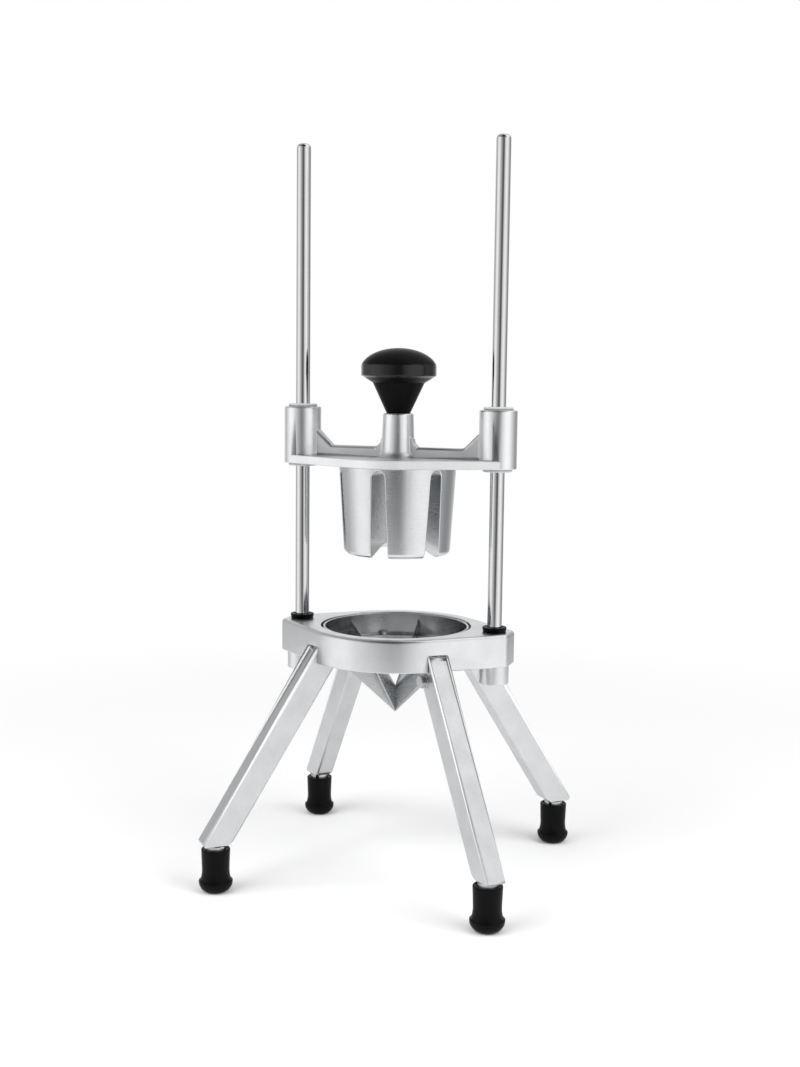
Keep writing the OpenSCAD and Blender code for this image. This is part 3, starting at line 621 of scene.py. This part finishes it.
for side in ("left", "right"):
    foot, height = middle_of("rod_bumper_" + side)
    edge_centre = (BUMPER_TOP_R - BUMPER_EDGE_R, height - BUMPER_EDGE_R)
    edge = bow(edge_centre, BUMPER_EDGE_R, BUMPER_EDGE_R, 0, 90, RUBBER_EDGE_STEPS)
    section = [(BUMPER_BORE_R, 0), (BUMPER_LOW_R, 0)] + edge + [(BUMPER_BORE_R, height)]
    collar = piece_from("rubber_collar_" + side, turned_on_lathe(section, foot, closed=True))
    mounted(collar, "rod_bumper_" + side, RUBBER, "stand")


# ---- Blade cartridge ----
# A turned steel ring drops into the opening and rests on its ledge, held by three small cap screws. Slots
# in it carry three bent blade plates, lapped where they cross and ground to an edge on top.
RING_EDGE_R = 0.3 * MM
SCREW_EDGE_R = 0.2 * MM
BLADE_TURNS = {"blade_plate_a": 30, "blade_plate_b": 90, "blade_plate_c": 150}
# The edge tones of these two finishes are painted highlights along the edges.
RING_STEEL = finish(
    "turned_ring_steel", tones=((0.36, 0.37, 0.38), (0.44, 0.45, 0.46)), rough=(0.2, 0.3),
    grain=(1800, 90, 0.5), relief=0.05, lines=(60, 60, 3200), line_relief=0.06, edge_highlight_tone=(0.8, 0.8, 0.8))
FASTENER_STEEL = finish(
    "plated_fastener_steel", tones=((0.52, 0.52, 0.53), (0.62, 0.63, 0.64)), rough=(0.2, 0.32),
    grain=(1500, 120, 0.5), relief=0.05, edge_highlight_tone=(0.82, 0.82, 0.82))
softened("blade_cartridge", "blade_ring", RING_EDGE_R, RING_STEEL, "stand")
softened("cartridge_screws", "blade_ring_screws", SCREW_EDGE_R, FASTENER_STEEL, "stand")


def recoated(node, material):
    """A new finish for a CAD node whose shape is right as it is."""
    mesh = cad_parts[node].data
    mesh.materials.clear()
    mesh.materials.append(material)


for plate, turn in BLADE_TURNS.items():
    recoated(plate, finish(
        "brushed_" + plate, tones=((0.46, 0.47, 0.48), (0.53, 0.54, 0.55)), rough=(0.24, 0.32),
        grain=(2200, 80, 0.3), relief=0.03, lines=(70, 2600, 2600), line_turn=math.radians(-turn),
        line_relief=0.04))


# ---- Legs ----
# Bars of cast aluminium, forked on top over a lug of the base and ending in a round spigot inside the
# foot. Their finish is duller than the base's, and a bright highlight is painted along their rounded edges.
LEG_EDGE_R = 0.6 * MM
LEG_TOP_SHIFT = 3.9 * MM
# The near-white, less metallic colour along the legs' edges is a painted highlight.
CAST_LEG = finish(
    "cast_aluminium_leg", tones=((0.58, 0.59, 0.60), (0.66, 0.67, 0.68)), rough=(0.32, 0.44),
    grain=(1100, 70, 0.5), relief=0.25, edge_highlight_tone=(0.95, 0.95, 0.95), edge_highlight_metallic=0.2)
CORNERS = ("front_left", "front_right", "back_left", "back_right")


def leg_casting(corner):
    """The bevel on top of the leg is steeper than the plain CAD one, so it ends flush with the skirt."""
    bm = merged_copy("leg_" + corner)
    top = max(v.co.z for v in bm.verts)
    on_top = [v for v in bm.verts if top - v.co.z < MERGE]
    middle = sum((v.co for v in on_top), Vector()) / len(on_top)
    outward = Vector((middle.x, middle.y, 0)).normalized()
    most = max(v.co.dot(outward) for v in on_top)
    crest = [v for v in on_top if most - v.co.dot(outward) < MERGE]
    bmesh.ops.translate(bm, verts=crest, vec=outward * LEG_TOP_SHIFT)
    shape = BVHTree.FromBMesh(bm)
    bm = rounded(bm, shape, sharp_edges(bm), LEG_EDGE_R)
    mounted(piece_from("cast_leg_" + corner, bm), "leg_" + corner, CAST_LEG, "stand")


for corner in CORNERS:
    leg_casting(corner)


# ---- Cross bolts ----
# A hex bolt of plated steel with a flat washer holds each leg. It goes through one cheek of the leg's
# fork and the base's lug, and screws into the other cheek, which it doesn't pierce.
BOLT_EDGE_R = 0.35 * MM
WASHER_EDGE_R = 0.15 * MM
softened("cross_bolts", "leg_bolts", BOLT_EDGE_R, FASTENER_STEEL, "stand")
softened("flat_washers", "leg_washers", WASHER_EDGE_R, FASTENER_STEEL, "stand")


# ---- Feet ----
# Moulded boots of black rubber, pushed on the legs' spigots. Each is a cup with a soft lip, a waist, a
# rounded rim on top and a flat pad under it.
FOOT_PAD_R = 5 * MM
FOOT_LIP_R = 11.5 * MM
FOOT_LIP_H = 6.8 * MM
FOOT_LIP_EDGE = 0.6 * MM
FOOT_FLARE_H = 8 * MM
FOOT_WAIST_R = 9.3 * MM
FOOT_TOP_R = 9.8 * MM
FOOT_RIM_R = 0.8 * MM
FOOT_BORE_R = 6.75 * MM
FOOT_BORE_Z = 9.3 * MM
FOOT_PAD_STEPS = 14
FOOT_FLARE_STEPS = 12

for corner in CORNERS:
    foot, height = middle_of("foot_" + corner)
    pad_centre = (FOOT_PAD_R, FOOT_LIP_H)
    pad = bow(pad_centre, FOOT_LIP_R - FOOT_PAD_R, FOOT_LIP_H, -90, 0, FOOT_PAD_STEPS)
    flare_centre = (FOOT_LIP_R, FOOT_LIP_H + FOOT_LIP_EDGE + FOOT_FLARE_H)
    flare = bow(flare_centre, FOOT_LIP_R - FOOT_WAIST_R, FOOT_FLARE_H, 270, 180, FOOT_FLARE_STEPS)
    rim_centre = (FOOT_TOP_R - FOOT_RIM_R, height - FOOT_RIM_R)
    rim = bow(rim_centre, FOOT_RIM_R, FOOT_RIM_R, 0, 90, RUBBER_EDGE_STEPS)
    bore = [(FOOT_BORE_R, height), (FOOT_BORE_R, FOOT_BORE_Z), (0, FOOT_BORE_Z)]
    boot = piece_from("rubber_boot_" + corner, turned_on_lathe([(0, 0)] + pad + flare + rim + bore, foot))
    mounted(boot, "foot_" + corner, RUBBER, "stand")


# ---- Rods' screws ----
# A socket cap screw of plated steel with a flat washer, sunk under each boss of the base. It goes up into
# the tapped foot of the rod and draws the rod down into the boss.
softened("rod_cap_screws", "rod_screws", BOLT_EDGE_R, FASTENER_STEEL, "stand")
softened("rod_flat_washers", "rod_washers", WASHER_EDGE_R, FASTENER_STEEL, "stand")


# ---- Sliding head ----
# A thin plate with a boss for each rod, a rib across it and a post for the knob, all one casting with a
# satin finish. Bosses and post are turned and polished, the plate's rim is sanded. The fingered block
# under it is cast too.
HEAD_EDGE_R = 0.6 * MM
RIB_EDGE_R = 2.4 * MM
RIB_FOOT_R = 2.4 * MM
RIB_HALF_W = 4 * MM
BOSS_R = 13 * MM
BOSS_X = 72 * MM
BOSS_GAP = 0.1 * MM
POST_MOST_R = 12.5 * MM
POST_FOOT_H = 5 * MM
BLOCK_EDGE_R = 0.7 * MM
# The crest of the rib lies between these heights above the plate, and takes so many steps to round
CREST_LOW = 2 * MM
CREST_HIGH = 60 * MM
CREST_STEPS = 5
# How far up or down a face of the plate's rim may look
RIM_LEAN = 0.6
# The head's materials by their place: satin all over, turned bosses and post, sanded rim
SATIN, TURNED, SANDED = 0, 1, 2
# The edge tones of these four finishes are painted highlights along the edges.
CAST_HEAD = finish(
    "cast_aluminium_head", tones=((0.68, 0.69, 0.70), (0.78, 0.79, 0.80)), rough=(0.34, 0.46),
    grain=(1400, 90, 0.5), relief=0.2, edge_highlight_tone=(0.9, 0.9, 0.9))
TURNED_BOSS = finish(
    "turned_aluminium_boss", tones=((0.78, 0.79, 0.80), (0.85, 0.86, 0.87)), rough=(0.28, 0.37),
    grain=(1600, 90, 0.5), relief=0.08, lines=(60, 60, 3500), line_relief=0.06, edge_highlight_tone=(0.9, 0.9, 0.9))
PLATE_RIM = finish(
    "sanded_plate_rim", tones=((0.74, 0.75, 0.76), (0.82, 0.83, 0.84)), rough=(0.45, 0.55),
    grain=(1500, 90, 0.5), relief=0.16, edge_highlight_tone=(0.92, 0.92, 0.92), metallic=0.6)
CAST_BLOCK = finish(
    "cast_aluminium_block", tones=((0.63, 0.64, 0.65), (0.71, 0.72, 0.73)), rough=(0.2, 0.3),
    grain=(1300, 80, 0.5), relief=0.14, lines=(80, 80, 2500), line_relief=0.04,
    edge_highlight_tone=(0.88, 0.88, 0.88))


def head_casting():
    """The rib is rounded first, on its crest and along its foot, and then the other edges."""
    bm = merged_copy("pusher_casting")
    shape = BVHTree.FromBMesh(bm)
    plate_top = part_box("push_block_screws")[1].z
    plate_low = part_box("push_block")[1].z

    def beside_rib(edge, low, high):
        return all(
            abs(abs(v.co.y) - RIB_HALF_W) < MERGE and low < v.co.z - plate_top < high for v in edge.verts)

    crest = [i for i in sharp_edges(bm) if beside_rib(bm.edges[i], CREST_LOW, CREST_HIGH)]
    bm = rounded(bm, shape, crest, RIB_EDGE_R, CREST_STEPS)
    foot_lines = [i for i in sharp_edges(bm) if beside_rib(bm.edges[i], -MERGE, MERGE)]
    bm = rounded(bm, shape, foot_lines, RIB_FOOT_R, CREST_STEPS)
    bm = rounded(bm, shape, sharp_edges(bm), HEAD_EDGE_R)
    for face in bm.faces:
        spot = face.calc_center_median()
        on_boss = math.hypot(abs(spot.x) - BOSS_X, spot.y) < BOSS_R + BOSS_GAP
        on_post = math.hypot(spot.x, spot.y) < POST_MOST_R and spot.z > plate_top + POST_FOOT_H
        on_rim = abs(face.normal.z) < RIM_LEAN and plate_low < spot.z < plate_top
        if on_boss or on_post:
            face.material_index = TURNED
        else:
            face.material_index = SANDED if on_rim else SATIN
    casting = piece_from("head_casting", bm)
    mounted(casting, "pusher_casting", CAST_HEAD, "head")
    casting.data.materials.append(TURNED_BOSS)
    casting.data.materials.append(PLATE_RIM)


head_casting()
softened("finger_block", "push_block", BLOCK_EDGE_R, CAST_BLOCK, "head")
softened("block_screws", "push_block_screws", SCREW_EDGE_R, FASTENER_STEEL, "head")


# ---- Bushings ----
# Flanged bushings of light plastic, pressed into both ends of each sliding boss. They run on the rods, and
# their flanges show as thin rims above and below the boss.
BUSHING_BORE_R = 5.08 * MM
BUSHING_R = 7.48 * MM
BUSHING_FLANGE_R = 10.08 * MM
BUSHING_FLANGE_T = 2 * MM
BUSHING_EDGE_R = 0.4 * MM
BUSHING_EDGE_STEPS = 4
BUSHING_PLASTIC = finish(
    "bushing_plastic", tones=((0.56, 0.56, 0.55), (0.66, 0.66, 0.65)), rough=(0.35, 0.5),
    grain=(1500, 60, 0.5), relief=0.06, metallic=0.0, specular=0.4)

for side in ("left", "right"):
    for end in ("top", "bottom"):
        foot, length = middle_of(f"bushing_{side}_{end}")
        rim_centre = (BUSHING_FLANGE_R - BUSHING_EDGE_R, BUSHING_EDGE_R)
        rim = bow(rim_centre, BUSHING_EDGE_R, BUSHING_EDGE_R, -90, 0, BUSHING_EDGE_STEPS)
        section = [(BUSHING_BORE_R + BUSHING_EDGE_R, 0)] + rim + [
            (BUSHING_FLANGE_R, BUSHING_FLANGE_T), (BUSHING_R, BUSHING_FLANGE_T), (BUSHING_R, length),
            (BUSHING_BORE_R, length), (BUSHING_BORE_R, BUSHING_EDGE_R)]
        bushing = turned_on_lathe(section, (0, 0, 0), closed=True)
        if end == "top":
            bmesh.ops.scale(bushing, verts=bushing.verts, vec=(1, 1, -1))
            bmesh.ops.reverse_faces(bushing, faces=bushing.faces)
            foot.z += length
        bmesh.ops.translate(bushing, verts=bushing.verts, vec=foot)
        bushing = piece_from(f"plastic_bushing_{side}_{end}", bushing)
        mounted(bushing, f"bushing_{side}_{end}", BUSHING_PLASTIC, "head")


# ---- Knob ----
# A black moulded ball knob: a tapering neck, a hollow under the head, a straight glossy band and a low
# dome. A brass insert moulded into it screws on the steel stud of the post.
KNOB_NECK_R = 8.5 * MM
KNOB_NECK_H = 20.9 * MM
KNOB_SHOULDER_R = 18 * MM
KNOB_R = 26.2 * MM
KNOB_UNDER_H = 4.3 * MM
KNOB_BAND_H = 7.3 * MM
KNOB_DOME_DROP = 3 * MM
KNOB_EDGE_R = 1.2 * MM
KNOB_EDGE_START = -80
KNOB_EDGE_STEPS = 6
KNOB_DOME_STEPS = 24
KNOB_NECK_EDGE = 0.4 * MM
KNOB_SOFT_R = 0.5 * MM
KNOB_BORE_R = 7.05 * MM
KNOB_BORE_DEEP = 20 * MM
KNOB_GLOSS_FADE = 1.5 * MM
KNOB_COAT_IOR = 1.4
KNOB_COAT_ROUGH = 0.07
KNOB_PLASTIC = finish(
    "black_knob_plastic", tones=((0.003, 0.003, 0.003), (0.005, 0.005, 0.005)), rough=(0.26, 0.36),
    grain=(900, 50, 0.5), relief=0.02, metallic=0.0, specular=0.05)
BRASS = finish(
    "turned_brass", tones=((0.66, 0.48, 0.20), (0.80, 0.62, 0.32)), rough=(0.2, 0.32),
    grain=(1500, 120, 0.5), relief=0.05, lines=(80, 80, 3000), line_relief=0.06)


def knob_profile(height):
    """From the bottom of the bore round the neck, the band and the dome to the top."""
    band_z = KNOB_NECK_H + KNOB_UNDER_H
    dome_z = band_z + KNOB_BAND_H
    dome_low_z = dome_z - KNOB_DOME_DROP
    dome_h = height - dome_low_z
    start = math.degrees(math.asin(KNOB_DOME_DROP / dome_h))
    dome_w = KNOB_R / math.cos(math.radians(start))
    edge_centre = (KNOB_R - KNOB_EDGE_R, band_z + KNOB_EDGE_R)
    edge = bow(edge_centre, KNOB_EDGE_R, KNOB_EDGE_R, KNOB_EDGE_START, 0, KNOB_EDGE_STEPS)
    dome = bow((0, dome_low_z), dome_w, dome_h, start, 90, KNOB_DOME_STEPS)
    bore = [(0, KNOB_BORE_DEEP), (KNOB_BORE_R, KNOB_BORE_DEEP), (KNOB_BORE_R, 0)]
    neck = [
        (KNOB_NECK_R - KNOB_NECK_EDGE, 0), (KNOB_NECK_R, KNOB_NECK_EDGE), (KNOB_SHOULDER_R, KNOB_NECK_H)]
    return bore + neck + edge + dome


def polish_band(material, low, high):
    """The band of the knob is polished to a hard gloss, its neck and dome are as moulded."""
    nodes, links = material.node_tree.nodes, material.node_tree.links
    body = next(node for node in nodes if node.type == "BSDF_PRINCIPLED")
    body.inputs["Coat IOR"].default_value = KNOB_COAT_IOR
    body.inputs["Coat Roughness"].default_value = KNOB_COAT_ROUGH
    axes = nodes.new("ShaderNodeSeparateXYZ")
    links.new(nodes.new("ShaderNodeTexCoord").outputs["Object"], axes.inputs["Vector"])
    above = ramp_node(nodes, links, axes.outputs["Z"], low - KNOB_GLOSS_FADE, low)
    below = ramp_node(nodes, links, axes.outputs["Z"], high + KNOB_GLOSS_FADE, high)
    links.new(math_node(nodes, links, "MULTIPLY", above, below), body.inputs["Coat Weight"])


foot, height = middle_of("knob")
band_low = foot.z + KNOB_NECK_H + KNOB_UNDER_H
polish_band(KNOB_PLASTIC, band_low, band_low + KNOB_BAND_H)
knob = turned_on_lathe(knob_profile(height), foot)
knob_shape = BVHTree.FromBMesh(knob)
knob = rounded(knob, knob_shape, sharp_edges(knob), KNOB_SOFT_R)
mounted(piece_from("ball_knob", knob), "knob", KNOB_PLASTIC, "head")
recoated("knob_insert", BRASS)
recoated("knob_stud", FASTENER_STEEL)
